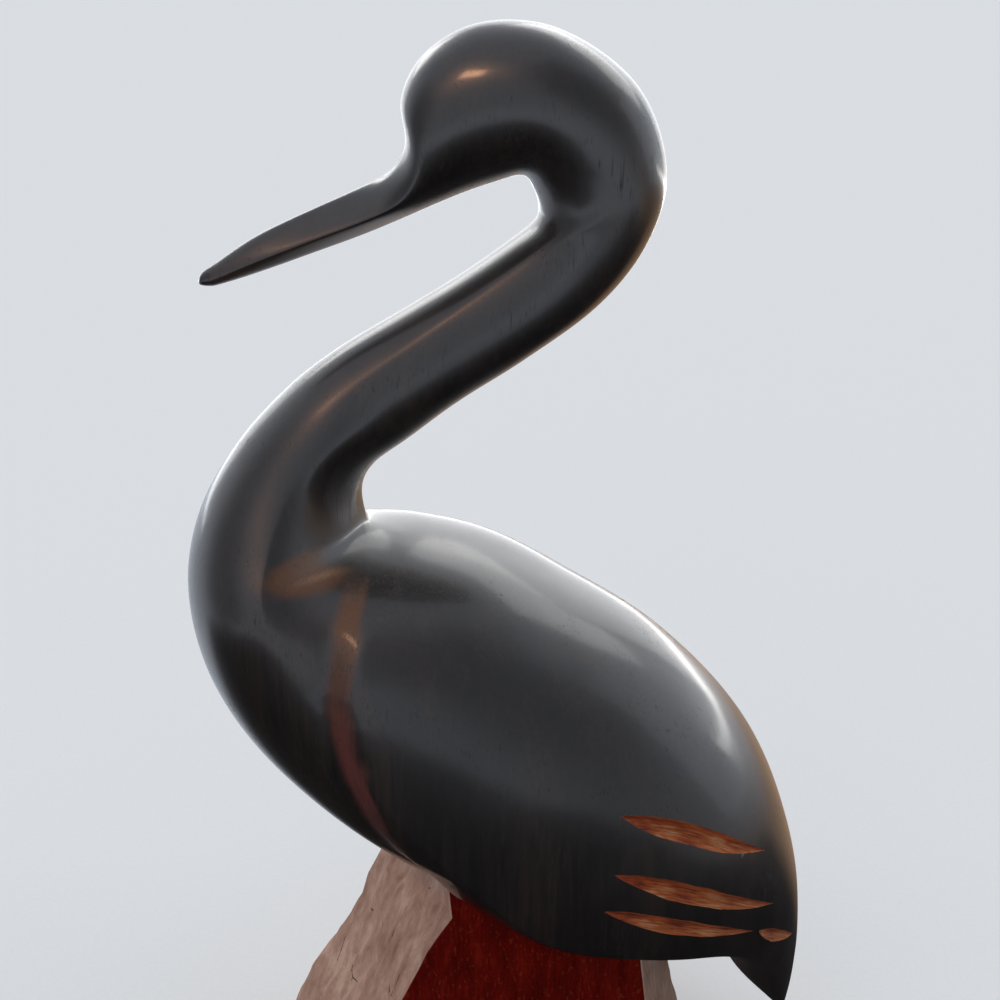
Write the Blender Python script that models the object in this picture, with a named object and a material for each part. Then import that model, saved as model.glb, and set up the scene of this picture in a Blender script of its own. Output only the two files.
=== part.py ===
"""Pelican carved in ironwood, in one block with the rough-hewn base that it sits on.

Metres, +Z up. The bird faces -X and its mirror plane is Y = 0. The origin is the
middle of the base's flat underside.
"""

import math
import random

import bmesh
import bpy
from mathutils import Vector
from mathutils.bvhtree import BVHTree

# The bird: every form of it is a share of this height, from tail tip to crown
BIRD_HEIGHT = 0.283

# The hewn block under the bird
BASE_HEIGHT = 0.092
FOOT_LENGTH = 0.125
FOOT_DEPTH = 0.079
TOP_LENGTH = 0.068
TOP_DEPTH = 0.058
TOP_SHIFT = 0.0155
HEWN_DEPTH = 0.0011

# How far the bird's crown stands behind the middle of the block's foot
BIRD_SHIFT = 0.0045

# How deep the block's top lies inside the belly, above the belly's lowest point
BELLY_SEAT = 0.027
BELLY_LOW = 0.155

# Three feather cuts on each wing
CUT_WIDTH = 0.0068
CUT_DEPTH = 0.0025
CUT_RIM = 0.0010

# Fineness of the faceted solid
RINGS = 88
HALF_RING = 20
BLOCK_COLUMNS = 4
BLOCK_LEVELS = 6
CUT_STATIONS = 9

# Sections across the bird from the bill to the tail, in thousandths of its height.
# Each row holds the outer point (crown, nape and back) and the inner point (throat,
# chest and belly) in the mirror plane as x and z, the half width, where the widest
# place lies between the two points, and how full the underside is (2 is round).
BILL = (
    (-254, 788, -253, 782, 4, 0.50, 2.0),
    (-241, 802, -236, 783, 10, 0.50, 2.0),
    (-210, 825, -207, 792, 15, 0.50, 2.0),
    (-167, 848, -160, 809, 19, 0.50, 2.0),
    (-124, 868, -116, 826, 22, 0.50, 2.0),
    (-93, 882, -78, 842, 26, 0.50, 2.0),
)
HEAD = (
    (-72, 892, -67, 846, 31, 0.52, 2.0),
    (-76, 911, -58, 850, 40, 0.52, 2.0),
    (-82, 934, -46, 855, 49, 0.50, 2.0),
    (-62, 972, -26, 863, 58, 0.48, 2.0),
    (-16, 997, -2, 871, 61, 0.47, 2.0),
    (48, 992, 18, 876, 61, 0.46, 2.0),
    (113, 947, 27, 865, 58, 0.46, 2.0),
    (138, 880, 31, 852, 54, 0.46, 2.0),
    (124, 823, 29, 838, 51, 0.47, 2.0),
)
NECK = (
    (86, 770, 9, 821, 48, 0.48, 2.0),
    (23, 721, -38, 788, 47, 0.48, 2.0),
    (-37, 681, -90, 756, 47, 0.48, 2.0),
    (-81, 646, -140, 726, 50, 0.49, 2.0),
    (-109, 624, -184, 692, 60, 0.50, 2.0),
    (-123, 600, -236, 636, 78, 0.50, 2.0),
)
BODY = (
    (-122, 574, -272, 575, 98, 0.50, 2.0),
    (-113, 556, -285, 508, 118, 0.51, 2.0),
    (-64, 549, -271, 423, 134, 0.54, 2.0),
    (0, 532, -226, 342, 145, 0.60, 1.9),
    (72, 492, -151, 269, 152, 0.68, 1.8),
    (148, 443, -65, 215, 154, 0.76, 1.6),
    (215, 377, 14, 176, 150, 0.82, 1.5),
    (262, 303, 122, 159, 136, 0.82, 1.4),
)
TAIL = (
    (291, 215, 203, 122, 102, 0.68, 1.5),
    (303, 130, 241, 65, 60, 0.52, 1.7),
    (304, 52, 273, 27, 26, 0.50, 2.0),
    (299, 2, 296, 0, 6, 0.50, 2.0),
)

# Fullness of the upper side of a section, from round neck to broad back
ROUND_UPPER = 2.0
BROAD_UPPER = 2.35

# Leading edge of the folded wing in side view, x and z from shoulder to lower edge
WING_EDGE = (
    (-118, 560), (-129, 520), (-137, 465), (-134, 426), (-124, 380), (-106, 330), (-86, 300), (-52, 283),
)
WING_RISE = 12
WING_SOFT = 14
WING_VALLEY = 4

# Each feather cut in side view: x and z of its two ends, and its share of the width
CUTS = (
    ((107, 342), (247, 267), 1.0),
    ((102, 287), (258, 209), 1.0),
    ((94, 250), (246, 184), 0.85),
    ((251, 180), (288, 142), 0.60),
)

# Plan corners of the block as shares of its length and depth, at the foot and the top
FOOT_PLAN = (
    (-0.37, -0.47), (-0.01, -0.50), (0.40, -0.47), (0.50, -0.13),
    (0.48, 0.26), (0.20, 0.50), (-0.25, 0.47), (-0.50, 0.24),
)
TOP_PLAN = (
    (-0.27, -0.48), (0.06, -0.50), (0.35, -0.48), (0.41, -0.24),
    (0.29, 0.24), (0.08, 0.47), (-0.31, 0.45), (-0.50, 0.24),
)

WOOD_COLOUR = (0.018, 0.012, 0.010, 1.0)
WOOD_ROUGHNESS = 0.28

UNIT = BIRD_HEIGHT / 1000.0
BIRD_FOOT = BASE_HEIGHT - BELLY_SEAT - BELLY_LOW * BIRD_HEIGHT


def clear_scene():
    for item in list(bpy.data.objects):
        bpy.data.objects.remove(item, do_unlink=True)


def smooth(value):
    """Ease from 0 to 1 with level ends."""
    value = min(max(value, 0.0), 1.0)
    return value * value * (3.0 - 2.0 * value)


def curve_through(points, knots, position):
    """Read a smooth curve through the points, of any length, at a knot position."""
    last = len(points) - 2
    span = 0
    while span < last and position > knots[span + 1]:
        span += 1
    step = knots[span + 1] - knots[span]
    share = (position - knots[span]) / step

    def slope(index, axis):
        low = max(index - 1, 0)
        high = min(index + 1, len(points) - 1)
        return (points[high][axis] - points[low][axis]) / (knots[high] - knots[low])

    square = share * share
    cube = square * share
    values = []
    for axis in range(len(points[0])):
        start = points[span][axis]
        end = points[span + 1][axis]
        value = start * (2.0 * cube - 3.0 * square + 1.0)
        value += end * (3.0 * square - 2.0 * cube)
        value += slope(span, axis) * step * (cube - 2.0 * square + share)
        value += slope(span + 1, axis) * step * (cube - square)
        values.append(value)
    return values


def bird_rows():
    """All sections with the fullness of their upper side added."""
    rows = []
    for part, upper in ((BILL, ROUND_UPPER), (HEAD, ROUND_UPPER), (NECK, ROUND_UPPER)):
        rows.extend(row + (upper,) for row in part)
    for index, row in enumerate(BODY):
        share = smooth(index / 3.0)
        rows.append(row + (ROUND_UPPER + (BROAD_UPPER - ROUND_UPPER) * share,))
    for index, row in enumerate(TAIL):
        share = 1.0 - smooth(index / 2.0)
        rows.append(row + (ROUND_UPPER + (BROAD_UPPER - ROUND_UPPER) * share,))
    return rows


def row_knots(rows):
    """Knots spaced by how far the faster side of each section travels."""
    knots = [0.0]
    for before, after in zip(rows, rows[1:]):
        outer = math.hypot(after[0] - before[0], after[1] - before[1])
        inner = math.hypot(after[2] - before[2], after[3] - before[3])
        knots.append(knots[-1] + max(outer, inner, 1.0))
    return knots


def wing_height(x, z):
    """Rise of the folded wing over the body's side, in thousandths."""
    if z >= WING_EDGE[0][1] or z <= WING_EDGE[-1][1]:
        nearest = WING_EDGE[0] if z >= WING_EDGE[0][1] else WING_EDGE[-1]
        edge = nearest[0]
    else:
        for upper, lower in zip(WING_EDGE, WING_EDGE[1:]):
            if lower[1] <= z <= upper[1]:
                edge = lower[0] + (upper[0] - lower[0]) * (z - lower[1]) / (upper[1] - lower[1])
                break
    behind = (x - edge) / WING_SOFT
    rise = WING_RISE * smooth(0.5 + 0.5 * behind)
    valley = WING_VALLEY * math.exp(-(behind + 1.0) ** 2)
    shoulder = 1.0 - smooth((z - 470.0) / 110.0)
    tail = 1.0 - smooth((x - 120.0) / 170.0)
    return (rise * tail - valley) * shoulder


def section_point(row, turn):
    """One point of a section: turn runs from 0 at the outer point to 1 at the inner."""
    outer_x, outer_z, inner_x, inner_z, half_width, widest, lower, upper = row
    if turn < 0.5:
        angle = math.pi * turn
        share = widest * (1.0 - math.cos(angle) ** (2.0 / upper))
        width = math.sin(angle) ** (2.0 / upper)
    else:
        angle = math.pi * (turn - 0.5)
        share = widest + (1.0 - widest) * math.sin(angle) ** (2.0 / lower)
        width = max(math.cos(angle), 0.0) ** (2.0 / lower)
    x = outer_x + (inner_x - outer_x) * share
    z = outer_z + (inner_z - outer_z) * share
    side = half_width * width
    side += wing_height(x, z) * width * smooth((half_width - 90.0) / 40.0)
    return x, side, z


def to_world(x, y, z):
    return Vector((BIRD_SHIFT + x * UNIT, y * UNIT, BIRD_FOOT + z * UNIT))


def bird_mesh():
    """The whole bird as one closed skin of rings."""
    rows = bird_rows()
    knots = row_knots(rows)
    mesh = bmesh.new()
    rings = []
    for index in range(RINGS):
        row = curve_through(rows, knots, knots[-1] * index / (RINGS - 1))
        ring = []
        for place in range(2 * HALF_RING):
            side = 1.0 if place >= HALF_RING else -1.0
            turn = place / HALF_RING if place <= HALF_RING else 2.0 - place / HALF_RING
            x, y, z = section_point(row, turn)
            ring.append(mesh.verts.new(to_world(x, side * y, z)))
        rings.append(ring)
    count = 2 * HALF_RING
    for ring, following in zip(rings, rings[1:]):
        for place in range(count):
            after = (place + 1) % count
            mesh.faces.new((ring[place], ring[after], following[after], following[place]))
    mesh.faces.new(reversed(rings[0]))
    mesh.faces.new(rings[-1])
    bmesh.ops.recalc_face_normals(mesh, faces=mesh.faces)
    return mesh


def block_mesh():
    """The block: plan corners joined by straight hewn faces with shallow chops."""
    chance = random.Random(7)
    corners = len(FOOT_PLAN)
    mesh = bmesh.new()
    rings = []
    for level in range(BLOCK_LEVELS + 1):
        rise = level / BLOCK_LEVELS
        ring = []
        for corner in range(corners):
            following = (corner + 1) % corners
            for column in range(BLOCK_COLUMNS):
                along = column / BLOCK_COLUMNS
                ends = []
                for place in (corner, following):
                    foot = Vector((FOOT_PLAN[place][0] * FOOT_LENGTH, FOOT_PLAN[place][1] * FOOT_DEPTH))
                    top = Vector((TOP_PLAN[place][0] * TOP_LENGTH + TOP_SHIFT, TOP_PLAN[place][1] * TOP_DEPTH))
                    ends.append(foot.lerp(top, rise))
                point = ends[0].lerp(ends[1], along)
                if level > 0:
                    point *= 1.0 + chance.uniform(-1.0, 1.0) * HEWN_DEPTH / point.length
                ring.append(mesh.verts.new((point.x, point.y, rise * BASE_HEIGHT)))
        rings.append(ring)
    count = corners * BLOCK_COLUMNS
    for ring, following in zip(rings, rings[1:]):
        for place in range(count):
            after = (place + 1) % count
            mesh.faces.new((ring[place], ring[after], following[after], following[place]))
    mesh.faces.new(reversed(rings[0]))
    mesh.faces.new(rings[-1])
    bmesh.ops.recalc_face_normals(mesh, faces=mesh.faces)
    return mesh


def cut_body(mesh, skin, start, end, share, side):
    """Add one lens-shaped V cutter that follows the wing's surface."""
    sections = []
    for station in range(CUT_STATIONS):
        along = station / (CUT_STATIONS - 1)
        x = start[0] + (end[0] - start[0]) * along
        z = start[1] + (end[1] - start[1]) * along
        origin = to_world(x, side * 1000.0, z)
        point, normal, _, _ = skin.ray_cast(origin, Vector((0.0, -side, 0.0)))
        sections.append((point, normal, math.sin(math.pi * along) ** 0.7))
    direction = (sections[-1][0] - sections[0][0]).normalized()
    rings = []
    for point, normal, fullness in sections:
        across = normal.cross(direction).normalized()
        half = max(0.5 * CUT_WIDTH * share * fullness, 0.0002)
        depth = CUT_DEPTH * share * fullness
        rim = CUT_RIM + half * 0.12
        spread = half * (1.0 + rim / max(depth, CUT_RIM))
        rings.append([
            mesh.verts.new(point - normal * depth),
            mesh.verts.new(point + across * spread + normal * rim),
            mesh.verts.new(point - across * spread + normal * rim),
        ])
    for ring, following in zip(rings, rings[1:]):
        for place in range(3):
            after = (place + 1) % 3
            mesh.faces.new((ring[place], ring[after], following[after], following[place]))
    mesh.faces.new(reversed(rings[0]))
    mesh.faces.new(rings[-1])


def cuts_mesh(skin):
    mesh = bmesh.new()
    for side in (-1.0, 1.0):
        for start, end, share in CUTS:
            cut_body(mesh, skin, start, end, share, side)
    bmesh.ops.recalc_face_normals(mesh, faces=mesh.faces)
    return mesh


def add_object(name, mesh):
    data = bpy.data.meshes.new(name)
    mesh.to_mesh(data)
    mesh.free()
    item = bpy.data.objects.new(name, data)
    bpy.context.collection.objects.link(item)
    return item


def add_cutter(name, mesh):
    item = add_object(name, mesh)
    item.hide_render = True
    item.display_type = 'WIRE'
    return item


def combine(item, other, operation):
    step = item.modifiers.new(other.name, 'BOOLEAN')
    step.operation = operation
    step.solver = 'EXACT'
    step.object = other


def ironwood():
    material = bpy.data.materials.new("ironwood")
    material.use_nodes = True
    shader = material.node_tree.nodes["Principled BSDF"]
    shader.inputs["Base Color"].default_value = WOOD_COLOUR
    shader.inputs["Roughness"].default_value = WOOD_ROUGHNESS
    shader.inputs["Metallic"].default_value = 0.0
    return material


def build():
    clear_scene()
    bird = bird_mesh()
    skin = BVHTree.FromBMesh(bird)
    carving = add_object("pelican_carving", bird)
    carving.data.materials.append(ironwood())
    combine(carving, add_cutter("hewn_block", block_mesh()), 'UNION')
    combine(carving, add_cutter("feather_cuts", cuts_mesh(skin)), 'DIFFERENCE')


build()
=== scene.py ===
"""Looks of a pelican carved in ironwood, in one block with its rough-hewn base.

The bird is hand rubbed to a satin polish. The feather cuts on each wing and the whole
base show raw wood, and the base has chisel hollows and drying cracks too.
"""

import math

import bmesh
import bpy
import numpy as np
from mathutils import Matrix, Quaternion, Vector
from mathutils.bvhtree import BVHTree


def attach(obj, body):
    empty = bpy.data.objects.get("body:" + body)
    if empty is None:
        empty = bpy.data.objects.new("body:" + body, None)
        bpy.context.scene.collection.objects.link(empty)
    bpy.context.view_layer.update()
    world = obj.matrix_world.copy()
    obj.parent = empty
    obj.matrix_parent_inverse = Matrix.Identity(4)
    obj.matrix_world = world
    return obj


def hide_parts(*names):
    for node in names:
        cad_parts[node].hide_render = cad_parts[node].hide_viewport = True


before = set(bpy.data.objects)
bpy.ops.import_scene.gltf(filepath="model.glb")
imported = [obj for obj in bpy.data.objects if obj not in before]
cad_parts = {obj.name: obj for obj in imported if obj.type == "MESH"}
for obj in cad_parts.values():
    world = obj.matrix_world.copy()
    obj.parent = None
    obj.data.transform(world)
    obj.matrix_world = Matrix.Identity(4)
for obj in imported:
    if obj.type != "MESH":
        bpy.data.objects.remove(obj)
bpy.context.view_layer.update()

# Sizes in metres, as in the solid. BELLY_LOW is a share of the bird's height.
BIRD_HEIGHT = 0.283
BIRD_SHIFT = 0.0045
BASE_HEIGHT = 0.092
BELLY_SEAT = 0.027
BELLY_LOW = 0.155
FOOT_LENGTH = 0.125
FOOT_DEPTH = 0.079
TOP_LENGTH = 0.068
TOP_DEPTH = 0.058
TOP_SHIFT = 0.0155

UNIT = BIRD_HEIGHT / 1000.0
BIRD_FOOT = BASE_HEIGHT - BELLY_SEAT - BELLY_LOW * BIRD_HEIGHT

# Feather cuts in metres: the solid's depth and rim, and a little less than its width
CUT_WIDTH = 0.0056
CUT_DEPTH = 0.0025
CUT_RIM = 0.0010
CUT_SLIGHTEST = 0.00015
CUT_ROUGHNESS = 0.00012

# Form of a cut: how far its fullest place leans to the start, how blunt its ends are, how
# hollow its walls, and how uneven its edges
CUT_LEAN = 0.84
CUT_BLUNTNESS = 0.85
CUT_HOLLOW = 0.85
CUT_SHIVER = 0.13

# Waves that rasp and scraper leave under the polish, in metres
RASP_DEPTH = 0.00022
BROAD_WAVE = 0.021
SMALL_WAVE = 0.0075

# Chisel strokes on the block, in metres
CHISEL_DEPTH = 0.0007
STROKE_HALF_WIDTH = (0.0035, 0.0065)
STROKE_HALF_LENGTH = (0.014, 0.030)
STROKE_LEAN = 0.16
STROKES_PER_METRE = 900

# Ragged upright edges of the block and the fibres and lumps of its faces, in metres
LONG_JAG = 0.009
LONG_JAG_RISE = 0.0004
SHORT_JAG = 0.0025
SHORT_JAG_RISE = 0.0003
HIGHEST_JAG = 0.0003
FIBRE_SIZE = 0.0011
FIBRE_DEPTH = 0.00010
LUMP_SIZE = 0.0065
LUMP_DEPTH = 0.00012

# Starting numbers for everything drawn by chance
BROAD_WAVE_SEED = 3
SMALL_WAVE_SEED = 4
CUT_SEED = 11
EDGE_SEED = 21
FIBRE_SEED = 31
LUMP_SEED = 32
STROKE_SEED = 40

# Fineness of the finished surface
RINGS = 430
HALF_RING = 80
BLOCK_COLUMNS = 42
BLOCK_LEVELS = 92
CUT_STATIONS = 64
CUT_WALL = 7
SKIN_PASSES = 5
BIRD_SHARP_ANGLE = 42.0
BASE_SHARP_ANGLE = 38.0
TIP_ROWS = 3
TIP_FINENESS = 8.0

# Sections across the bird from the bill to the tail, in thousandths of its height:
# outer point and inner point in the mirror plane, half width, widest place, fullness
BILL = (
    (-257, 787, -257, 785, 1, 0.55, 2.0),
    (-254, 793, -255, 782, 6, 0.55, 2.0),
    (-248, 798, -247, 781, 9, 0.56, 2.0),
    (-240, 803, -236, 783, 12, 0.57, 2.0),
    (-210, 823, -207, 792, 18, 0.58, 2.0),
    (-167, 843, -160, 809, 23, 0.58, 2.0),
    (-124, 862, -116, 825, 30, 0.58, 2.0),
    (-93, 877, -78, 841, 37, 0.57, 2.0),
)
HEAD = (
    (-72, 892, -67, 846, 41, 0.56, 2.0),
    (-76, 911, -58, 850, 43, 0.54, 2.0),
    (-82, 934, -46, 855, 46, 0.52, 2.0),
    (-62, 972, -26, 863, 52, 0.49, 2.0),
    (-16, 997, -2, 871, 58, 0.47, 2.0),
    (48, 992, 18, 876, 61, 0.46, 2.0),
    (113, 947, 27, 865, 58, 0.46, 2.0),
    (138, 880, 31, 852, 54, 0.46, 2.0),
    (124, 823, 29, 838, 51, 0.47, 2.0),
)
NECK = (
    (86, 770, 9, 821, 48, 0.48, 2.0),
    (23, 721, -38, 788, 47, 0.48, 2.0),
    (-37, 681, -90, 756, 47, 0.48, 2.0),
    (-81, 646, -140, 726, 50, 0.49, 2.0),
    (-109, 624, -184, 692, 60, 0.50, 2.0),
    (-123, 600, -236, 636, 74, 0.50, 2.0),
)
BODY = (
    (-122, 574, -272, 575, 97, 0.50, 2.0),
    (-113, 556, -285, 508, 122, 0.51, 2.0),
    (-64, 549, -271, 423, 134, 0.54, 2.0),
    (0, 532, -226, 342, 145, 0.60, 1.9),
    (72, 492, -151, 269, 152, 0.68, 1.8),
    (148, 443, -65, 215, 154, 0.76, 1.6),
    (215, 377, 14, 176, 150, 0.82, 1.5),
    (262, 303, 122, 159, 136, 0.82, 1.4),
)
TAIL = (
    (291, 215, 203, 122, 102, 0.68, 1.5),
    (303, 130, 241, 65, 60, 0.52, 1.7),
    (304, 52, 273, 27, 26, 0.50, 2.0),
    (299, 2, 296, 0, 6, 0.50, 2.0),
)
ROUND_UPPER = 2.0
BROAD_UPPER = 2.35

# Fullness of the outer side from the top of the head down to the shoulder: 13 sections
# from the head's sixth one on
NAPE_UPPER = (2.2, 2.4, 2.6, 2.7, 2.7, 2.7, 2.6, 2.2, 1.8, 1.65, 1.45, 1.4, 2.1)

# Leading edge of the folded wing in side view, from the shoulder to the lower edge
WING_EDGE = (
    (-118, 560), (-129, 520), (-137, 465), (-134, 426),
    (-124, 380), (-106, 330), (-86, 300), (-52, 283),
)

# Rise of the wing behind that edge, the run that it takes and the valley in front of it,
# in thousandths, and how crisp the step is
WING_RISE = 12
WING_SOFT = 12
WING_VALLEY = 3
WING_CREASE = 0.10

# The wing's relief fades out above WING_TOP, behind WING_END and on narrow sections
WING_TOP = 470.0
WING_TOP_FADE = 110.0
WING_END = 120.0
WING_END_FADE = 170.0
WING_LEAST_WIDTH = 90.0
WING_WIDTH_FADE = 40.0

# Crease along the side of the bill: its place from culmen to throat, and how round it and
# the far edges of its two flat sides are
KEEL_PLACE = 0.60
KEEL_ROUND = 0.11
FLAT_ROUND = 0.4

# How strong that crease is, on the bill's sections and the first ones of the head
KEEL_SHARES = (0.0, 0.0, 0.0, 0.10, 0.50, 0.95, 1.0, 0.75, 0.45, 0.20)

# Soft crest along the side of the neck, on the last two sections of the head and all of
# the neck's: its place, as the bill's crease is counted, and its strength
CREST = (
    (0.45, 0.0), (0.78, 1.2), (0.846, 1.3), (0.835, 1.0),
    (0.78, 0.9), (0.74, 0.6), (0.70, 0.0), (0.70, 0.0),
)
CREST_SPREAD = 0.10
CREST_ROUND = 0.12
CREST_RISE = 3.2

# Folds that are rubbed round: middle in side view, reach, and how many passes. Points in
# the mirror plane stay, and points FILLET_EDGE thousandths off it move in full.
FILLETS = (
    ((-122, 562), 22.0, 120),
    ((-140, 542), 24.0, 80),
    ((-76, 878), 26.0, 120),
)
FILLET_EDGE = 14.0

# Where the wood is painted, in thousandths: the brown patch at the shoulder, a painted warm
# reflection, and the pale line along its top, a painted highlight, and the line that parts
# the bill's lower side from its upper one, with the place and the height where that side fades out
REFLECTION_MIDDLE = (-160.0, 553.0)
REFLECTION_REACH = (47.0, 19.0)
REFLECTION_STRENGTH = 1.6
HIGHLIGHT_LINE_HEIGHT = 547.0
HIGHLIGHT_LINE_WIDTH = 2.2
HIGHLIGHT_LINE_ENDS = (-182.0, -108.0)
BILL_LINE = ((-254.0, 784.0), (-167.0, 826.0), (-78.0, 860.0))
BILL_FADE = -110.0
BILL_FOOT = 740.0

# The wing's ledge is painted between two heights, red low down and brown above LEDGE_BROWN.
# On the body nothing is painted nearer to the mirror plane than PAINT_EDGE.
LEDGE_FOOT = 285.0
LEDGE_TOP = 530.0
LEDGE_BROWN = 400.0
PAINT_EDGE = 60.0

# Where the heart of a feather cut lies between its middle and its upper edge
CUT_HEART = 0.22

# Feather cuts in side view: x and z of both ends, rise of the middle, share of the full width
CUTS = (
    ((107, 342), (247, 267), 3.0, 1.0),
    ((102, 287), (258, 209), 3.0, 0.95),
    ((94, 250), (238, 188), 2.0, 0.85),
    ((245, 184), (288, 142), 0.0, 0.70),
)

# Plan corners of the block as shares of its length and depth, at the foot and the top
FOOT_PLAN = (
    (-0.37, -0.47), (-0.01, -0.50), (0.40, -0.47), (0.50, -0.13),
    (0.48, 0.26), (0.20, 0.50), (-0.25, 0.47), (-0.50, 0.24),
)
TOP_PLAN = (
    (-0.27, -0.48), (0.06, -0.50), (0.35, -0.48), (0.41, -0.24),
    (0.29, 0.24), (0.08, 0.47), (-0.31, 0.45), (-0.50, 0.24),
)

# Knees of the block's upright edges: plan corner, then heights and sideways shifts
KNEES = {
    0: ((0.066, 0.0), (0.077, 0.0019), (0.085, -0.0026), (0.092, -0.0060)),
    7: (
        (0.0, 0.0), (0.010, -0.0010), (0.021, -0.0014),
        (0.034, 0.0004), (0.050, 0.0014), (0.058, 0.0),
    ),
}

# How pale each face of the block is painted, from the left half of the front on and
# anticlockwise from above: the sides as the wood lit, pinkish tan, the front as the same wood in
# shade, dark red
PALE_SIDES = (0.0, 0.0, 1.0, 1.0, 0.4, 0.1, 0.7, 1.0)

# The floor and the dark cloth on it, in metres
FLOOR_REACH = 6.0
CLOTH_SIDE = 0.64
CLOTH_FRONT = -0.68
CLOTH_BACK = 0.13
CLOTH_LIFT = 0.001

# Camera: sensor and lens in millimetres, place in metres, dip in degrees
SENSOR_WIDTH = 36.0
LENS = 54.0
CAMERA_PLACE = (BIRD_SHIFT, -0.35205, 0.33843)
CAMERA_DIP = 23.4


class Noise:
    """Smooth seeded noise in space, for whole arrays of points."""

    def __init__(self, seed):
        self.table = np.random.default_rng(seed).uniform(-1.0, 1.0, (32, 32, 32))

    def __call__(self, points, size):
        place = np.asarray(points, dtype=float) / size
        low = np.floor(place).astype(int)
        part = place - low
        part = part * part * (3.0 - 2.0 * part)
        value = 0.0
        for dx in (0, 1):
            for dy in (0, 1):
                for dz in (0, 1):
                    weight = np.abs(1 - dx - part[..., 0]) * np.abs(1 - dy - part[..., 1])
                    weight = weight * np.abs(1 - dz - part[..., 2])
                    x, y, z = low[..., 0] + dx, low[..., 1] + dy, low[..., 2] + dz
                    value = value + weight * self.table[x % 32, y % 32, z % 32]
        return value


def smooth(value):
    """Ease from 0 to 1 with level ends."""
    value = np.clip(value, 0.0, 1.0)
    return value * value * (3.0 - 2.0 * value)


def bird_rows():
    """All sections, with the fullness of the upper side, the keel's share and the crest."""
    rows = []
    plain = (CREST[-1][0], 0.0)
    keels = dict(enumerate(KEEL_SHARES))
    nape = dict(enumerate(NAPE_UPPER, len(BILL) + 5))
    for index, row in enumerate(BILL + HEAD + NECK + BODY):
        usual = BROAD_UPPER if row in BODY else ROUND_UPPER
        rows.append(row + (nape.get(index, usual), keels.get(index, 0.0)) + plain)
    for index, row in enumerate(TAIL):
        upper = BROAD_UPPER + (ROUND_UPPER - BROAD_UPPER) * float(smooth(index / 2.0))
        rows.append(row + (upper, 0.0) + plain)
    first = len(BILL) + len(HEAD) + len(NECK) - len(CREST)
    for index, crest in enumerate(CREST):
        rows[first + index] = rows[first + index][:-2] + crest
    return np.array(rows, dtype=float)


def soften(values, passes):
    """Even out small jumps of curvature along the rows, with both ends held."""
    for _ in range(passes):
        inner = 0.25 * values[:-2] + 0.5 * values[1:-1] + 0.25 * values[2:]
        values = np.concatenate((values[:1], inner, values[-1:]))
    return values


def fine_rows():
    """Sections read from a smooth curve through the chosen ones."""
    rows = bird_rows()
    outer = np.hypot(np.diff(rows[:, 0]), np.diff(rows[:, 1]))
    inner = np.hypot(np.diff(rows[:, 2]), np.diff(rows[:, 3]))
    steps = np.maximum(np.maximum(outer, inner), 1.0)
    steps[:TIP_ROWS] *= TIP_FINENESS
    knots = np.concatenate(([0.0], np.cumsum(steps)))
    slopes = np.gradient(rows, knots, axis=0)
    slopes[1:-1] = (rows[2:] - rows[:-2]) / (knots[2:] - knots[:-2])[:, None]
    places = np.linspace(0.0, knots[-1], RINGS)
    span = np.clip(np.searchsorted(knots, places, side='right') - 1, 0, len(knots) - 2)
    step = (knots[span + 1] - knots[span])[:, None]
    share = (places - knots[span])[:, None] / step
    square = share * share
    cube = square * share
    values = rows[span] * (2.0 * cube - 3.0 * square + 1.0)
    values += rows[span + 1] * (3.0 * square - 2.0 * cube)
    values += slopes[span] * step * (cube - 2.0 * square + share)
    values += slopes[span + 1] * step * (cube - square)
    return soften(values, SKIN_PASSES)


def side_view(points):
    """Where points lie in side view, in thousandths of the bird's height."""
    return (points[..., 0] - BIRD_SHIFT) / UNIT, (points[..., 2] - BIRD_FOOT) / UNIT


def behind_wing_edge(x, z):
    """How far a place lies behind the wing's leading edge, as a share of WING_SOFT."""
    edge_x, edge_z = np.array(WING_EDGE[::-1], dtype=float).T
    return (x - np.interp(z, edge_z, edge_x)) / WING_SOFT


def wing_height(x, z):
    """Rise of the folded wing over the body's side, in thousandths."""
    behind = behind_wing_edge(x, z)
    before_step = np.sqrt((behind + 1.0) ** 2 + WING_CREASE ** 2)
    after_step = np.sqrt((behind - 1.0) ** 2 + WING_CREASE ** 2)
    rise = WING_RISE * 0.25 * (2.0 + before_step - after_step)
    valley = WING_VALLEY * np.exp(-(behind + 1.0) ** 2)
    shoulder = 1.0 - smooth((z - WING_TOP) / WING_TOP_FADE)
    tail = 1.0 - smooth((x - WING_END) / WING_END_FADE)
    return (rise * tail - valley) * shoulder


def flat_side(run):
    """Width of one nearly flat side of the bill: round at its far edge, full at run 1."""
    return np.sqrt(run * run + FLAT_ROUND * run) / math.sqrt(1.0 + FLAT_ROUND)


def keeled_width(share):
    """Width of a bill section with a crease along its side, from culmen to throat."""
    upper = flat_side(share / KEEL_PLACE)
    lower = flat_side((1.0 - share) / (1.0 - KEEL_PLACE))
    gap = upper - lower
    rounding = 4.0 * KEEL_ROUND * KEEL_ROUND * np.minimum(upper, lower)
    return 0.5 * (upper + lower - np.sqrt(gap * gap + rounding))


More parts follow.
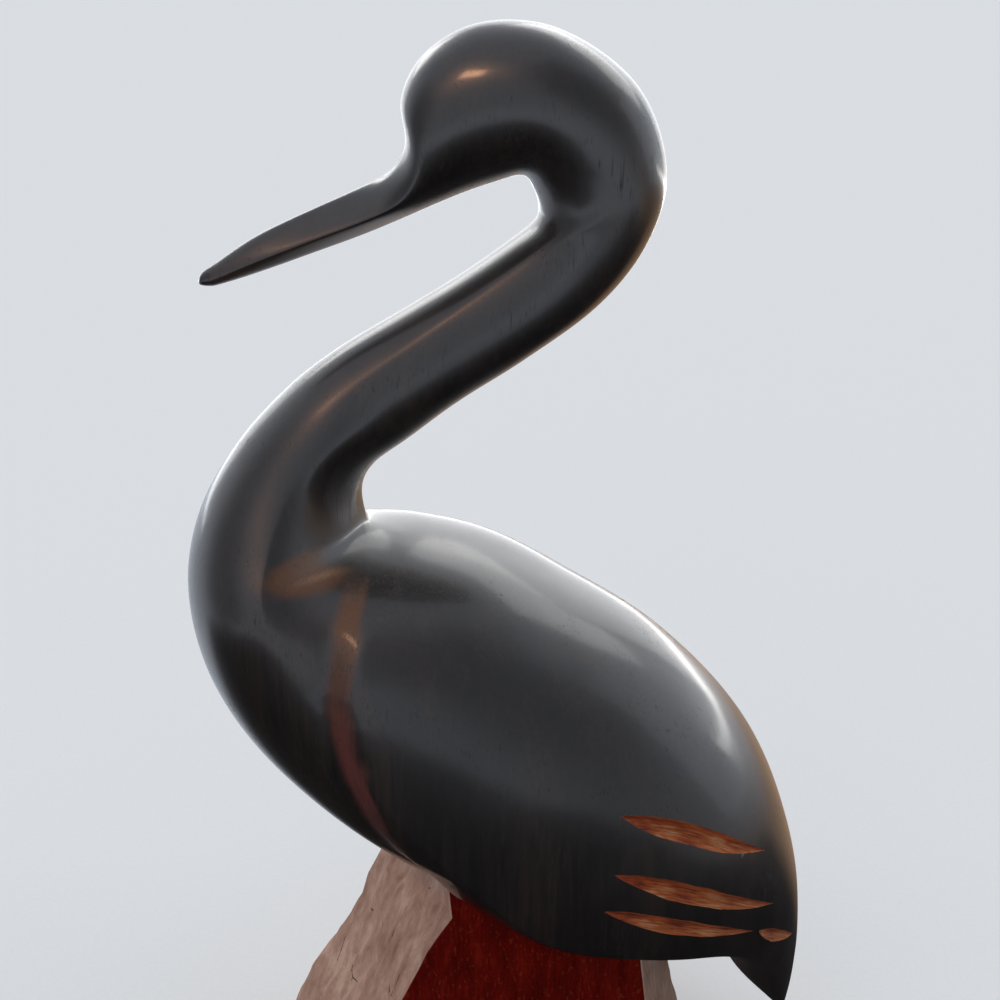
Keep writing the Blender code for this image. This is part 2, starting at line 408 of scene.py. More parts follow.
def bird_points():
    """Grid of points on the bird: rings from bill to tail by places round each ring."""
    rows = fine_rows()[:, None, :]
    turn = np.arange(2 * HALF_RING) / HALF_RING
    side = np.where(turn > 1.0, 1.0, -1.0)[None, :]
    turn = np.where(turn > 1.0, 2.0 - turn, turn)[None, :]
    upper_angle = math.pi * np.clip(turn, 0.0, 0.5)
    lower_angle = math.pi * np.clip(turn - 0.5, 0.0, 0.5)
    widest, lower, upper = rows[..., 5], rows[..., 6], rows[..., 7]
    keel, crest_place, crest = rows[..., 8], rows[..., 9], rows[..., 10]
    upper_share = widest * (1.0 - np.cos(upper_angle) ** (2.0 / upper))
    lower_share = widest + (1.0 - widest) * np.sin(lower_angle) ** (2.0 / lower)
    share = np.where(turn < 0.5, upper_share, lower_share)
    upper_width = np.sin(upper_angle) ** (2.0 / upper)
    lower_width = np.clip(np.cos(lower_angle), 0.0, 1.0) ** (2.0 / lower)
    width = np.where(turn < 0.5, upper_width, lower_width)
    width = width * (1.0 - keel) + keeled_width(share) * keel
    x = rows[..., 0] + (rows[..., 2] - rows[..., 0]) * share
    z = rows[..., 1] + (rows[..., 3] - rows[..., 1]) * share
    y = rows[..., 4] * width
    from_crest = np.sqrt(((share - crest_place) / CREST_SPREAD) ** 2 + CREST_ROUND)
    y = y + crest * CREST_RISE * np.exp(-from_crest)
    broad = smooth((rows[..., 4] - WING_LEAST_WIDTH) / WING_WIDTH_FADE)
    y = y + wing_height(x, z) * width * broad
    return np.stack((BIRD_SHIFT + x * UNIT, side * y * UNIT, BIRD_FOOT + z * UNIT), axis=-1)


def fillet(points, middle, reach, passes):
    """Round off a fold near a spot of the side view, leaving the outline as it is."""
    x, z = side_view(points)
    x = x - middle[0]
    z = z - middle[1]
    off_middle = smooth(np.abs(points[..., 1]) / UNIT / FILLET_EDGE)
    share = (0.5 * np.exp(-(x * x + z * z) / reach ** 2) * off_middle)[..., None]
    for _ in range(passes):
        around = 0.25 * (np.roll(points, 1, axis=1) + np.roll(points, -1, axis=1))
        along = points.copy()
        along[1:-1] = 0.5 * (points[:-2] + points[2:])
        points = points + share * (around + 0.5 * along - points)
    return points


def knife_waves(points, normals):
    """Leave the shallow hollows that a carver's rasp and scraper leave under the polish."""
    broad = Noise(BROAD_WAVE_SEED)(points, BROAD_WAVE)
    small = Noise(SMALL_WAVE_SEED)(points, SMALL_WAVE)
    depth = RASP_DEPTH * (0.5 + 0.5 * broad) + 0.18 * RASP_DEPTH * (0.5 + 0.5 * small)
    return points - normals * depth[..., None]


def ring_normals(points):
    """Outward normals of a grid of rings."""
    along = np.gradient(points, axis=0)
    around = np.roll(points, -1, axis=1) - np.roll(points, 1, axis=1)
    normals = np.cross(around, along)
    length = np.linalg.norm(normals, axis=-1, keepdims=True)
    normals = normals / np.maximum(length, 1e-12)
    outside = points - points.mean(axis=1, keepdims=True)
    return normals if np.sum(outside * normals) > 0.0 else -normals


def grid_mesh(name, points):
    """Closed skin over a grid of rings, with a flat cap at each end."""
    rings, count = points.shape[:2]
    place = np.arange(count)
    after = (place + 1) % count
    quads = []
    for ring in range(rings - 1):
        low = ring * count
        high = low + count
        quads.append(np.stack((low + place, low + after, high + after, high + place), axis=1))
    faces = np.concatenate(quads).tolist()
    faces.append(list(range(count))[::-1])
    faces.append(list(range((rings - 1) * count, rings * count)))
    data = bpy.data.meshes.new(name)
    data.from_pydata(points.reshape(-1, 3).tolist(), [], faces)
    mesh = bmesh.new()
    mesh.from_mesh(data)
    bmesh.ops.recalc_face_normals(mesh, faces=mesh.faces)
    mesh.to_mesh(data)
    mesh.free()
    return data


def add_object(name, data):
    item = bpy.data.objects.new(name, data)
    bpy.context.collection.objects.link(item)
    return item


def cut_rings(skin, start, end, bend, share, side, chance):
    """Rings of one gouge stroke: a fuller start, a fine end, and two uneven walls."""
    sections = []
    for station in range(CUT_STATIONS):
        along = station / (CUT_STATIONS - 1)
        x = start[0] + (end[0] - start[0]) * along
        z = start[1] + (end[1] - start[1]) * along + bend * math.sin(math.pi * along)
        origin = Vector((BIRD_SHIFT + x * UNIT, side, BIRD_FOOT + z * UNIT))
        point, normal, _, _ = skin.ray_cast(origin, Vector((0.0, -side, 0.0)))
        sections.append((along, point, normal))
    direction = (sections[-1][1] - sections[0][1]).normalized()
    shiver = Noise(chance)
    rings = []
    for along, point, normal in sections:
        across = normal.cross(direction).normalized()
        if across.z < 0.0:
            across = -across
        fullness = math.sin(math.pi * along ** CUT_LEAN) ** CUT_BLUNTNESS
        half = max(0.5 * CUT_WIDTH * share * fullness, CUT_SLIGHTEST)
        depth = CUT_DEPTH * share * fullness
        ring = []
        for step in range(2 * CUT_WALL + 1):
            spread = 1.0 - step / CUT_WALL
            fall = min((1.0 - spread) / (1.0 - CUT_HEART), (1.0 + spread) / (1.0 + CUT_HEART))
            sink = depth * fall ** CUT_HOLLOW
            place = np.array((along * 9.0, spread * 1.5, side + chance))
            edge = float(shiver(place, 1.0))
            grain = float(shiver(place * (5.0, 3.0, 1.0), 1.0))
            reach = half * spread * (1.0 + CUT_SHIVER * edge)
            sink += CUT_ROUGHNESS * (grain - 1.0 / 3.0) * fullness * min(fall * 3.0, 1.0)
            ring.append(point + across * reach - normal * sink)
        rim = CUT_RIM + 0.12 * half
        ring[0] = ring[0] + normal * rim + across * rim * half / max(depth, CUT_RIM)
        ring[-1] = ring[-1] + normal * rim - across * rim * half / max(depth, CUT_RIM)
        rings.append(ring)
    return np.array(rings)


def carve(bird, skin, raw_wood):
    """Cut the feather strokes into each wing, with raw wood on the cut faces."""
    cutters = []
    for side in (-1.0, 1.0):
        for index, (start, end, bend, share) in enumerate(CUTS):
            rings = cut_rings(skin, start, end, bend, share, side, CUT_SEED + index)
            data = grid_mesh("gouge", rings)
            data.materials.append(raw_wood)
            cutter = add_object("gouge", data)
            cutters.append(cutter)
            step = bird.modifiers.new("gouge", 'BOOLEAN')
            step.operation = 'DIFFERENCE'
            step.solver = 'EXACT'
            step.material_mode = 'TRANSFER'
            step.object = cutter
    shape = bird.evaluated_get(bpy.context.evaluated_depsgraph_get())
    carved = bpy.data.meshes.new_from_object(shape)
    bird.modifiers.clear()
    bird.data = carved
    for cutter in cutters:
        bpy.data.objects.remove(cutter)


def vertex_array(data):
    places = np.empty(3 * len(data.vertices), dtype=np.float32)
    data.vertices.foreach_get("co", places)
    return places.reshape(-1, 3).astype(float)


def paint(data, name, values):
    """Store one number for each point of a mesh, for its material to read."""
    layer = data.attributes.new(name, 'FLOAT', 'POINT')
    layer.data.foreach_set("value", np.asarray(values, dtype=np.float32))


def paint_bird(data):
    """Mark the wing's front ledge and its height, the shoulder's brown patch of painted reflection
    and its pale line of painted highlight, the bill's lower side, and the cuts.
    """
    places = vertex_array(data)
    x, z = side_view(places)
    behind = behind_wing_edge(x, z)
    ledge = smooth((behind + 1.3) / 0.9) * smooth((1.1 - behind) / 0.5)
    ledge = ledge * smooth((z - LEDGE_FOOT) / 30.0) * (1.0 - smooth((z - LEDGE_TOP) / 20.0))
    off_middle = smooth((np.abs(places[:, 1]) / UNIT - PAINT_EDGE) / 20.0)
    paint(data, "ledge", ledge * off_middle)
    paint(data, "ledge_height", smooth((z - LEDGE_BROWN) / 110.0))
    # Painted reflection: a warm brown patch at the shoulder, and a painted highlight line along
    # its top
    reflection_x = (x - REFLECTION_MIDDLE[0]) / REFLECTION_REACH[0]
    reflection_z = (z - REFLECTION_MIDDLE[1]) / REFLECTION_REACH[1]
    painted_reflection = smooth(REFLECTION_STRENGTH * (1.0 - reflection_x ** 2 - reflection_z ** 2))
    left, right = HIGHLIGHT_LINE_ENDS
    line = np.exp(-((z - HIGHLIGHT_LINE_HEIGHT) / HIGHLIGHT_LINE_WIDTH) ** 2)
    line = line * smooth((x - left) / 24.0) * smooth((right - x) / 8.0)
    paint(data, "shoulder_stain", painted_reflection * off_middle)
    paint(data, "shoulder_line", line * off_middle)
    bill = 1.0 - smooth((x - BILL_FADE) / 60.0)
    line = np.interp(x, *zip(*BILL_LINE))
    lower_side = smooth((line - z) / 8.0 + 0.5) * smooth((z - BILL_FOOT) / 20.0)
    paint(data, "bill_under", bill * lower_side)
    paint_cuts(data, x, z)


def paint_cuts(data, x, z):
    """Mark the lower walls of the cuts, which their material paints as lit, and how far along and
    up in its cut each point is.
    """
    lower_wall = np.zeros(len(x))
    cut_length = np.zeros(len(x))
    cut_height = np.zeros(len(x))
    for (start_x, start_z), (end_x, end_z), bend, share in CUTS:
        reach_x = end_x - start_x
        reach_z = end_z - start_z
        run = np.hypot(reach_x, reach_z)
        off = ((z - start_z) * reach_x - (x - start_x) * reach_z) / run
        along = ((x - start_x) * reach_x + (z - start_z) * reach_z) / run ** 2
        off = off - bend * np.sin(math.pi * np.clip(along, 0.0, 1.0))
        inside = (along > -0.02) & (along < 1.02) & (np.abs(off) < 14.0)
        past_start = 0.5 + 0.5 * smooth((along[inside] - 0.1) / 0.5)
        # The lower wall is the one that is painted lit
        lower_wall[inside] = smooth(0.5 - off[inside] / 7.0) * past_start
        cut_length[inside] = along[inside] * run
        cut_height[inside] = off[inside] + 40.0 * share
    paint(data, "lower_wall", lower_wall)
    paint(data, "cut_length", cut_length)
    paint(data, "cut_height", cut_height)


def make_bird():
    points = bird_points()
    for middle, reach, passes in FILLETS:
        points = fillet(points, middle, reach, passes)
    points = knife_waves(points, ring_normals(points))
    bird = add_object("bird", grid_mesh("bird", points))
    bird.data.materials.append(polished_ironwood())
    skin = BVHTree.FromPolygons(
        [vertex.co for vertex in bird.data.vertices],
        [tuple(face.vertices) for face in bird.data.polygons],
    )
    carve(bird, skin, cut_ironwood())
    paint_bird(bird.data)
    bird.data.shade_smooth()
    bird.data.set_sharp_from_angle(angle=math.radians(BIRD_SHARP_ANGLE))
    return bird


def stroke_depth(along, up, seed, count, span):
    """Hollows of chisel strokes on one hewn face, in metres, along and up that face."""
    chance = np.random.default_rng(seed)
    depth = np.zeros_like(along)
    for _ in range(count):
        middle = chance.uniform(0.0, span)
        height = chance.uniform(0.0, BASE_HEIGHT)
        half_width = chance.uniform(*STROKE_HALF_WIDTH)
        half_length = chance.uniform(*STROKE_HALF_LENGTH)
        lean = chance.uniform(-STROKE_LEAN, STROKE_LEAN)
        deep = chance.uniform(0.3, 1.0) * CHISEL_DEPTH
        across = (along - middle - lean * (up - height)) / half_width
        lengthwise = (up - height) / half_length
        hollow = deep * (1.0 - across ** 2 - lengthwise ** 2)
        depth = np.maximum(depth, hollow)
    return depth


def block_edges(foot, top):
    """The block's upright edges in plan, level by level: straight ones with knees and jags."""
    heights = np.linspace(0.0, BASE_HEIGHT, BLOCK_LEVELS + 1)
    rise = np.linspace(0.0, 1.0, BLOCK_LEVELS + 1)[:, None, None]
    edges = foot[None] + (top - foot)[None] * rise
    jag = Noise(EDGE_SEED)
    for corner in range(len(foot)):
        spots = np.stack((heights, np.full_like(heights, corner), np.zeros_like(heights)), axis=-1)
        outward = edges[:, corner] / np.linalg.norm(edges[:, corner], axis=-1, keepdims=True)
        wobble = LONG_JAG_RISE * jag(spots / (LONG_JAG, 1.0, 1.0), 1.0)
        wobble = wobble + SHORT_JAG_RISE * jag(spots / (SHORT_JAG, 1.0, 1.0) + 7.3, 1.0)
        edges[:, corner] += outward * np.minimum(wobble, HIGHEST_JAG)[:, None]
        if corner in KNEES:
            levels, shifts = zip(*KNEES[corner])
            edges[:, corner, 0] += np.interp(heights, levels, shifts)
    return edges


def make_base():
    """The hewn block: nearly straight faces between plan corners, with chisel hollows."""
    foot = np.array(FOOT_PLAN) * (FOOT_LENGTH, FOOT_DEPTH)
    top = np.array(TOP_PLAN) * (TOP_LENGTH, TOP_DEPTH) + (TOP_SHIFT, 0.0)
    corners = len(foot)
    edges = block_edges(foot, top)
    columns = []
    pale = []
    for corner in range(corners):
        following = (corner + 1) % corners
        for column in range(BLOCK_COLUMNS):
            share = column / BLOCK_COLUMNS
            columns.append(edges[:, corner] * (1.0 - share) + edges[:, following] * share)
            pale.append(PALE_SIDES[corner])
    plan = np.stack(columns, axis=1)
    levels = np.linspace(0.0, BASE_HEIGHT, BLOCK_LEVELS + 1)
    height = np.broadcast_to(levels[:, None], plan.shape[:2])
    points = np.concatenate((plan, height[..., None]), axis=-1)
    depth = np.zeros(points.shape[:2])
    for corner in range(corners):
        columns = slice(corner * BLOCK_COLUMNS, (corner + 1) * BLOCK_COLUMNS)
        span = float(np.linalg.norm(foot[corner] - foot[(corner + 1) % corners]))
        share = np.arange(BLOCK_COLUMNS) / BLOCK_COLUMNS
        along = np.broadcast_to(share[None, :] * span, depth[:, columns].shape)
        count = int(span * STROKES_PER_METRE)
        strokes = stroke_depth(along, height[:, columns], STROKE_SEED + corner, count, span)
        edge_hold = 0.25 + 0.75 * smooth(np.minimum(share, 1.0 - share) / 0.16)
        depth[:, columns] = strokes * edge_hold[None, :]
    fibre = Noise(FIBRE_SEED)(points / (1.0, 1.0, 9.0), FIBRE_SIZE)
    lumps = Noise(LUMP_SEED)(points, LUMP_SIZE)
    depth = depth + FIBRE_DEPTH * fibre + LUMP_DEPTH * (lumps + 0.4)
    depth[0] = np.maximum(depth[0], 0.0)
    points = points - ring_normals(points) * depth[..., None]
    points[0, :, 2] = 0.0
    points[-1, :, 2] = BASE_HEIGHT
    base = add_object("hewn_base", grid_mesh("hewn_base", points))
    base.data.materials.append(hewn_ironwood())
    # Painted light and shade: each face's share of the lit pinkish tan, the rest being the shaded
    # dark red
    tone = np.broadcast_to(np.array(pale)[None, :], depth.shape)
    paint(base.data, "sapwood", tone.reshape(-1))
    base.data.shade_smooth()
    base.data.set_sharp_from_angle(angle=math.radians(BASE_SHARP_ANGLE))
    return base


class Value:
    """A shader socket that holds a number and takes part in plain arithmetic."""

    def __init__(self, finish, socket):
        self.finish = finish
        self.socket = socket

    def maths(self, operation, first, second):
        return self.finish.node('ShaderNodeMath', {"operation": operation}, {0: first, 1: second})

    def __add__(self, other):
        return self.maths('ADD', self, other)

    __radd__ = __add__

    def __sub__(self, other):
        return self.maths('SUBTRACT', self, other)

    def __rsub__(self, other):
        return self.maths('SUBTRACT', other, self)

    def __mul__(self, other):
        return self.maths('MULTIPLY', self, other)

    __rmul__ = __mul__

    def larger(self, other):
        return self.maths('MAXIMUM', self, other)


class Finish:
    """The nodes of a material or of the world's light, and the sockets of their shader."""

    def __init__(self, owner, shader="Principled BSDF", place="Object"):
        self.owner = owner
        self.owner.use_nodes = True
        self.tree = self.owner.node_tree
        self.shader = self.tree.nodes[shader]
        self.place = self.node('ShaderNodeTexCoord', {}, {}, output=place)

    def node(self, kind, settings, inputs, output=0):
        """Add a node: its settings first, then the values or links of its sockets."""
        node = self.tree.nodes.new(kind)
        for name, value in settings.items():
            if name == "stops":
                self.set_stops(node.color_ramp, value)
            else:
                setattr(node, name, value)
        for place, value in inputs.items():
            self.feed(node.inputs[place], value)
        return Value(self, node.outputs[output])

    @staticmethod
    def set_stops(ramp, stops):
        while len(ramp.elements) > 1:
            ramp.elements.remove(ramp.elements[-1])
        ramp.elements[0].position, ramp.elements[0].color = stops[0]
        for position, colour in stops[1:]:
            ramp.elements.new(position).color = colour

    def feed(self, socket, value):
        if isinstance(value, Value):
            self.tree.links.new(value.socket, socket)
        else:
            socket.default_value = value

    def finish(self, **inputs):
        """Feed the shader's sockets, with words of a name joined by underscores."""
        for name, value in inputs.items():
            self.feed(self.shader.inputs[name.replace("_", " ")], value)
        return self.owner

    def stored(self, name):
        return self.node('ShaderNodeAttribute', {"attribute_name": name}, {}, output="Fac")

    def together(self, first, second):
        """A place made of two numbers."""
        return self.node('ShaderNodeCombineXYZ', {}, {0: first, 1: second})

    def stretched(self, scale, turn=(0.0, 0.0, 0.0)):
        return self.node('ShaderNodeMapping', {}, {
            "Vector": self.place, "Rotation": turn, "Scale": scale,
        })

    def noise(self, vector, scale, detail=3.0, roughness=0.55, distortion=0.0):
        return self.node('ShaderNodeTexNoise', {}, {
            "Vector": vector, "Scale": scale, "Detail": detail,
            "Roughness": roughness, "Distortion": distortion,
        })

    def between(self, value, low, high):
        """Ease from 0 at low to 1 at high."""
        return self.node('ShaderNodeMapRange', {"interpolation_type": 'SMOOTHSTEP'}, {
            "Value": value, "From Min": low, "From Max": high, "To Min": 0.0, "To Max": 1.0,
        })

    def towards(self, direction):
        """How far the place lies along a direction."""
        return self.node('ShaderNodeVectorMath', {"operation": 'DOT_PRODUCT'}, {
            0: self.place, 1: direction,
        }, output="Value")

    def mix(self, share, first, second):
        """One colour at share 0, the other at share 1."""
        return self.node('ShaderNodeMix', {"data_type": 'RGBA'}, {
            0: share, 6: first, 7: second,
        }, output=2)

    def ramp(self, value, *stops):
        return self.node('ShaderNodeValToRGB', {"stops": stops}, {"Fac": value})

    def bump(self, height, distance, strength, under=None):
        inputs = {"Height": height, "Distance": distance, "Strength": strength}
        if under is not None:
            inputs["Normal"] = under
        return self.node('ShaderNodeBump', {}, inputs)

    def scratches(self, turn, scale, fine):
        """Thin straight marks that all run one way, as a share from 0 to 1."""
        lanes = self.noise(self.stretched((1.0, 1.0, fine), turn), scale, detail=1.0)
        return self.between(lanes, 0.66, 0.74)


def colour(red, green, blue):
    return (red, green, blue, 1.0)


def polished_ironwood():
    """Rubbed, oiled and waxed heartwood: near black with faint upright grain."""
    finish = Finish(bpy.data.materials.new("polished_ironwood"))
    upright = finish.stretched((1.0, 1.0, 0.045))
    grain = finish.noise(upright, 950.0, detail=4.0, roughness=0.6, distortion=0.3)
    bands = finish.noise(finish.stretched((1.0, 1.0, 0.14)), 120.0, detail=3.0, distortion=0.6)
    clouds = finish.noise(finish.place, 42.0, detail=2.0)
    pores = finish.noise(finish.stretched((1.0, 1.0, 0.11)), 2600.0, detail=2.0)
    pores = finish.between(pores, 0.60, 0.70)
    wood = finish.ramp(
        bands * 0.55 + grain * 0.45,
        (0.30, colour(0.0035, 0.0030, 0.0030)),
        (0.52, colour(0.0085, 0.0062, 0.0056)),
        (0.72, colour(0.0200, 0.0110, 0.0076)),
    )
    # A band painted along the wing's ledge, red low down and brown higher up, with a rougher
    # polish and less coat
    ledge_band = finish.stored("ledge") * finish.between(clouds + grain * 0.4, 0.34, 0.86)
    lower_ledge_red = colour(0.080, 0.013, 0.010)
    upper_ledge_brown = colour(0.085, 0.033, 0.010)
    ledge_tone = finish.mix(finish.stored("ledge_height"), lower_ledge_red, upper_ledge_brown)
    wood = finish.mix(ledge_band, wood, ledge_tone)
    # Painted reflection: a warm brown patch at the shoulder, with less coat there
    painted_reflection = finish.stored("shoulder_stain") * finish.between(clouds + grain * 0.3, 0.34, 0.70)
    wood = finish.mix(painted_reflection * 0.9, wood, colour(0.085, 0.032, 0.008))
    # Painted highlight: a pale orange line along the top of the shoulder's patch
    painted_highlight = finish.stored("shoulder_line") * 0.7
    wood = finish.mix(painted_highlight, wood, colour(0.20, 0.11, 0.05))
    brown = finish.stored("bill_under") * finish.between(clouds, 0.35, 0.62)
    wood = finish.mix(brown * 0.45, wood, colour(0.045, 0.022, 0.012))
    wood = finish.mix(pores * 0.5, wood, colour(0.004, 0.003, 0.003))
    marks = finish.scratches((0.3, 0.5, 0.2), 1500.0, 0.015)
    marks = marks.larger(finish.scratches((0.9, -0.4, 0.7), 1300.0, 0.012))
    marks = marks.larger(finish.scratches((-0.5, 1.1, 0.1), 1700.0, 0.018))
    marks = marks * finish.between(finish.noise(finish.place, 60.0), 0.50, 0.62)
    polish = 0.33 + (clouds - 0.5) * 0.14 + grain * 0.07 + marks * 0.20
    polish = polish + pores * 0.08 + ledge_band * 0.22
    under = finish.bump(grain * 0.35 + bands * 0.65, 0.00010, 0.35)
    surface = finish.bump(marks * -1.0 - pores * 0.6, 0.00003, 0.5, under)
    return finish.finish(
        Base_Color=wood,
        Roughness=polish,
        IOR=1.5,
        Coat_Weight=(0.62 - marks * 0.4 - pores * 0.3) * (1.0 - 0.8 * ledge_band.larger(painted_reflection)),
        Coat_Roughness=0.15,
        Coat_IOR=1.46,
        Normal=surface,
    )


def cut_ironwood():
    """Freshly cut wood inside the feather lines, with its light and shade painted in: the upper
    wall, which faces down, as orange red in shade, and the lower wall, which faces up, as lit tan.
    """
    finish = Finish(bpy.data.materials.new("cut_ironwood"))
    length = finish.stored("cut_length")
    height = finish.stored("cut_height")
    fibres = finish.noise(finish.together(length * 0.05, height), 0.9, detail=3.0)
    patches = finish.noise(finish.together(length * 0.3, height), 0.11, detail=2.0)
    # Painted shade: the upper wall faces down and is painted as the raw wood in shade, orange red
    upper = finish.ramp(
        fibres * 0.5 + patches * 0.5,
        (0.34, colour(0.050, 0.0045, 0.0012)),
        (0.50, colour(0.200, 0.0320, 0.0045)),
        (0.66, colour(0.360, 0.0900, 0.0130)),
    )
    # Painted light: the lower wall faces up and is painted as the same wood lit, paler and tan
    lower = finish.ramp(
        fibres * 0.6 + patches * 0.4,
        (0.36, colour(0.110, 0.0150, 0.0024)),
        (0.50, colour(0.250, 0.0640, 0.0120)),
        (0.62, colour(0.310, 0.1500, 0.0700)),
        (0.76, colour(0.400, 0.2800, 0.1900)),
    )
    low = finish.between(finish.stored("lower_wall") + (patches - 0.5) * 0.8, 0.35, 0.75)
    return finish.finish(
        Base_Color=finish.mix(low, upper, lower),
        Roughness=0.62 + fibres * 0.25,
        Specular_IOR_Level=0.28,
        Normal=finish.bump(fibres, 0.00022, 0.8),
    )


def hewn_ironwood():
    """Raw wood of the block, its light and shade painted in: the front as the wood in shade, dark
    red, and the sides as the same wood lit, pinkish tan.
    """
    finish = Finish(bpy.data.materials.new("hewn_ironwood"))
    fibres = finish.noise(finish.stretched((1.0, 1.0, 0.10)), 1300.0, detail=5.0, roughness=0.65)
    leaning = finish.stretched((1.0, 1.0, 0.16), (0.10, 0.14, 0.0))
    streaks = finish.noise(leaning, 210.0, detail=4.0, distortion=0.8)
    patches = finish.noise(finish.place, 85.0, detail=4.0, roughness=0.6)
    specks = finish.noise(finish.stretched((1.0, 1.0, 0.45)), 1400.0, detail=2.0)
    specks = finish.between(specks, 0.58, 0.70)
    # Painted shade: the raw wood as it looks in shade, dark red, for the front
    shaded_red = finish.ramp(
        streaks * 0.5 + fibres * 0.5,
        (0.30, colour(0.032, 0.0009, 0.0005)),
        (0.52, colour(0.078, 0.0024, 0.0011)),
        (0.74, colour(0.140, 0.0085, 0.0030)),
    )
    shaded_red = finish.mix(specks * 0.14, shaded_red, colour(0.34, 0.08, 0.020))
    # Painted light: the same wood as it looks lit, pinkish tan, for the sides
    lit_tan = finish.ramp(
        streaks * 0.45 + fibres * 0.2 + patches * 0.35,
        (0.32, colour(0.170, 0.092, 0.066)),
        (0.50, colour(0.290, 0.184, 0.142)),
        (0.66, colour(0.420, 0.300, 0.238)),
    )
    share = finish.between(finish.stored("sapwood") + (patches - 0.5) * 0.5, 0.38, 0.62)
    wood = finish.mix(share, shaded_red, lit_tan)
    cracks = finish.node('ShaderNodeTexVoronoi', {"feature": 'DISTANCE_TO_EDGE'}, {
        "Vector": finish.stretched((1.0, 1.0, 0.35), (0.2, 0.1, 0.4)), "Scale": 95.0,
    })
    dry = finish.between(finish.noise(finish.place, 110.0), 0.58, 0.62)
    cracks = (1.0 - finish.between(cracks, 0.0, 0.014)) * dry * (0.15 + 0.85 * share)
    wood = finish.mix(cracks * 0.85, wood, colour(0.030, 0.012, 0.010))
    surface = finish.bump(fibres * 0.6 + streaks * 0.4, 0.00035, 0.7)
    surface = finish.bump(cracks * -1.0, 0.0005, 0.8, surface)
    return finish.finish(
        Base_Color=wood,
        Roughness=0.72 + fibres * 0.22,
        Specular_IOR_Level=0.03,
        Normal=surface,
    )


def studio_floor():
    finish = Finish(bpy.data.materials.new("studio_floor"))
    tone = finish.noise(finish.place, 700.0, detail=2.0)
    shade = finish.ramp(
        tone,
        (0.3, colour(0.655, 0.650, 0.635)),
        (0.7, colour(0.675, 0.670, 0.655)),
    )
    return finish.finish(Base_Color=shade, Roughness=0.85)


def dark_cloth():
    """Nearly black weave that fades out towards all four sides."""
    finish = Finish(bpy.data.materials.new("dark_cloth"))
    weave = finish.noise(finish.place, 900.0, detail=2.0)
    shade = finish.ramp(
        weave,
        (0.3, colour(0.010, 0.008, 0.007)),
        (0.7, colour(0.020, 0.016, 0.014)),
    )
    depth = finish.towards((0.0, 1.0, 0.0))
    side = finish.towards((1.0, 0.0, 0.0)).larger(finish.towards((-1.0, 0.0, 0.0)))
    front = finish.between(depth, -0.66, -0.44)
    back = 1.0 - finish.between(depth, 0.04, 0.12)
    near = 1.0 - finish.between(side, 0.34, 0.62)
    return finish.finish(Base_Color=shade, Roughness=0.95, Alpha=front * back * near)


def flat_sheet(name, left, right, front, back, height, material):
    """A flat four-sided mesh at one height, with its material."""
    corners = [
        (left, front, height), (right, front, height),
        (right, back, height), (left, back, height),
    ]
    data = bpy.data.meshes.new(name)
    data.from_pydata(corners, [], [(0, 1, 2, 3)])
    data.materials.append(material)
    return add_object(name, data)


def add_floor():
    reach = FLOOR_REACH
    floor = flat_sheet("floor", -reach, reach, -reach, reach, 0.0, studio_floor())
    floor.visible_glossy = False


def add_front_cloth():
    """A dark cloth on the floor that the camera doesn't see and the polish mirrors low down."""
    cloth = flat_sheet(
        "front_cloth", -CLOTH_SIDE, CLOTH_SIDE, CLOTH_FRONT, CLOTH_BACK, CLOTH_LIFT, dark_cloth(),
    )
    cloth.visible_camera = False
    cloth.visible_diffuse = False
    cloth.visible_shadow = False


def add_panel(name, place, aim, width, height, radiance, tint, roll=0.0):
    """A soft box that the camera doesn't see, as bright as asked for over its whole face."""
    data = bpy.data.lights.new(name, 'AREA')
    data.shape = 'RECTANGLE'
    data.size = width
    data.size_y = height
    data.energy = radiance * math.pi * width * height
    data.color = tint
    lamp = add_object(name, data)
    lamp.location = place
    turn = (Vector(aim) - Vector(place)).to_track_quat('-Z', 'Y')
    turn = turn @ Quaternion((0.0, 0.0, 1.0), math.radians(roll))
    lamp.rotation_euler = turn.to_euler()
    lamp.visible_camera = False
    return lamp


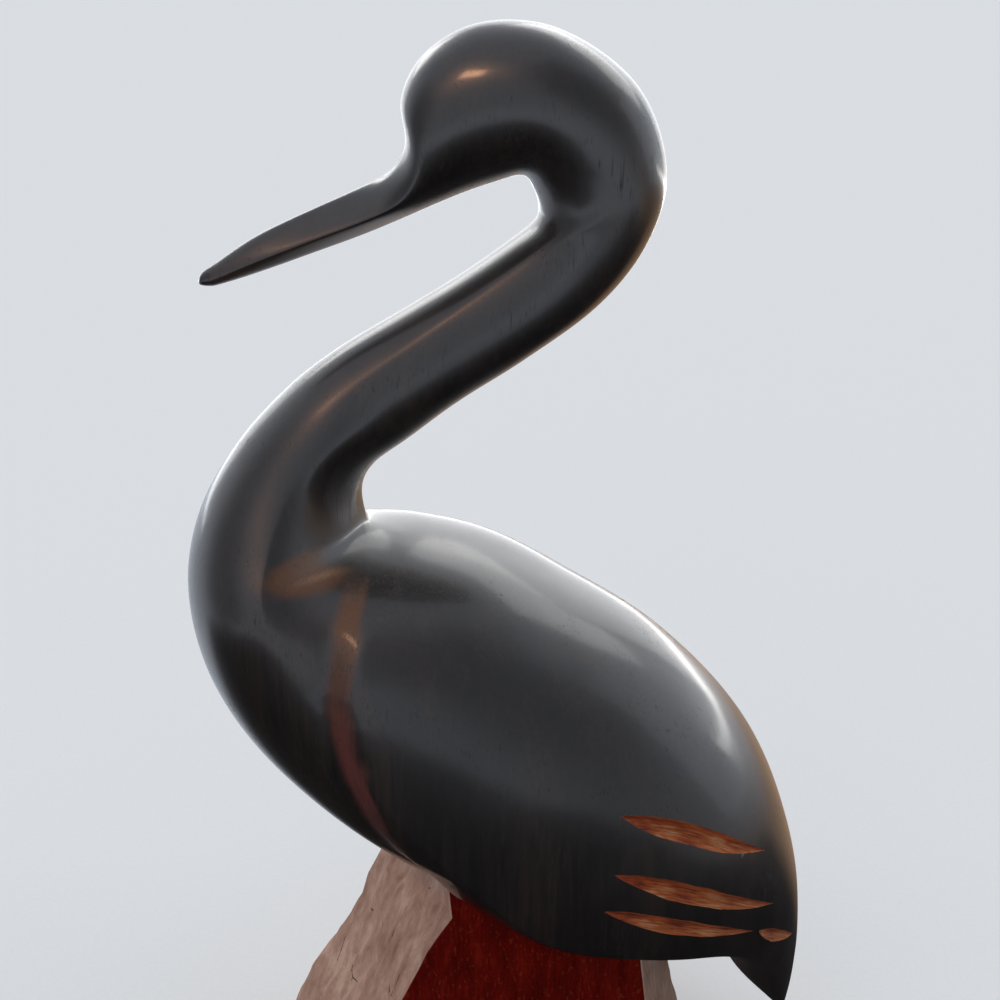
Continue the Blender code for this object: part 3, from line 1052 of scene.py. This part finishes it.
def add_lights():
    """Soft boxes for the carving alone, most of them behind it, and an even light for all."""
    middle = (0.0, 0.0, 0.16)
    white = (1.0, 0.99, 0.965)
    cool = (0.88, 0.95, 1.0)
    warm = (1.0, 0.50, 0.27)
    over_head = (-0.01, 0.0, 0.40)
    left_of_foot = (-0.30, 0.0, 0.07)
    tail = (0.06, 0.0, 0.12)
    back = (0.05, 0.0, 0.18)
    panels = [
        add_panel("back", (-0.01, 0.75, 0.40), over_head, 1.50, 0.72, 1.35, white),
        add_panel("back_left", (-0.42, 0.66, 0.60), middle, 0.30, 0.26, 3.2, white),
        add_panel("back_top", (0.41, 0.57, 0.74), middle, 0.90, 0.36, 2.3, white),
        add_panel("back_foot", (-0.30, 0.62, 0.07), left_of_foot, 1.10, 0.06, 2.2, cool),
        add_panel("back_strip", (0.62, 0.55, 0.135), tail, 0.95, 0.045, 7.0, white, -12.0),
        add_panel("right_side", (0.98, 0.16, 0.48), back, 1.10, 0.80, 0.55, cool),
        add_panel("warm_lamp", (-0.46, -0.57, 0.91), middle, 0.24, 0.13, 22.0, warm),
    ]
    lit = bpy.data.collections.new("lit by the soft boxes")
    for lamp in panels:
        lamp.light_linking.receiver_collection = lit
    sky = bpy.data.lights.new("sky", 'SUN')
    sky.angle = math.radians(70.0)
    sky.energy = 1.6
    sky.color = (1.0, 0.99, 0.97)
    lamp = add_object("sky", sky)
    lamp.rotation_euler = (math.radians(-34.0), 0.0, 0.0)
    lamp.visible_glossy = False
    bpy.context.scene.world = world_light()
    return lit


def world_light():
    """Even bluish light that fades out straight below. Low down it is brown at the right and
    brighter in front, and it is dimmer from the upper right in front and from the left.
    """
    world = Finish(bpy.data.worlds.new("world"), "Background", "Generated")
    up = world.towards((0.0, 0.0, 1.0))
    right = world.between(world.towards((0.90, 0.43, 0.0)), 0.1, 0.7)
    low_right = (1.0 - world.between(up, -0.32, 0.02)) * right
    tint = world.mix(low_right, colour(0.89, 0.96, 1.08), colour(0.66, 0.42, 0.26))
    front = world.between(world.towards((0.0, -1.0, 0.0)), 0.1, 0.6)
    low_front = (1.0 - world.between(up, -0.34, -0.08)) * front
    dim_right = world.between(world.towards((0.50, -0.70, 0.50)), 0.70, 0.97)
    dim_left = world.between(world.towards((-0.97, -0.22, 0.06)), 0.80, 0.98)
    level = 0.74 + low_front * 0.46 - dim_right * 0.44 - dim_left * 0.46
    strength = 0.04 + world.between(up, -0.95, -0.70) * level
    return world.finish(Color=tint, Strength=strength)


def add_camera():
    data = bpy.data.cameras.new("camera")
    data.sensor_width = SENSOR_WIDTH
    data.lens = LENS
    camera = add_object("camera", data)
    camera.location = CAMERA_PLACE
    camera.rotation_euler = (math.radians(90.0 - CAMERA_DIP), 0.0, 0.0)
    bpy.context.scene.camera = camera


add_camera()
add_floor()
add_front_cloth()
lit_pieces = add_lights()
bpy.context.scene.view_settings.view_transform = 'Standard'
for piece in (make_bird(), make_base()):
    lit_pieces.objects.link(piece)
    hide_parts("pelican_carving")
    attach(piece, "root")
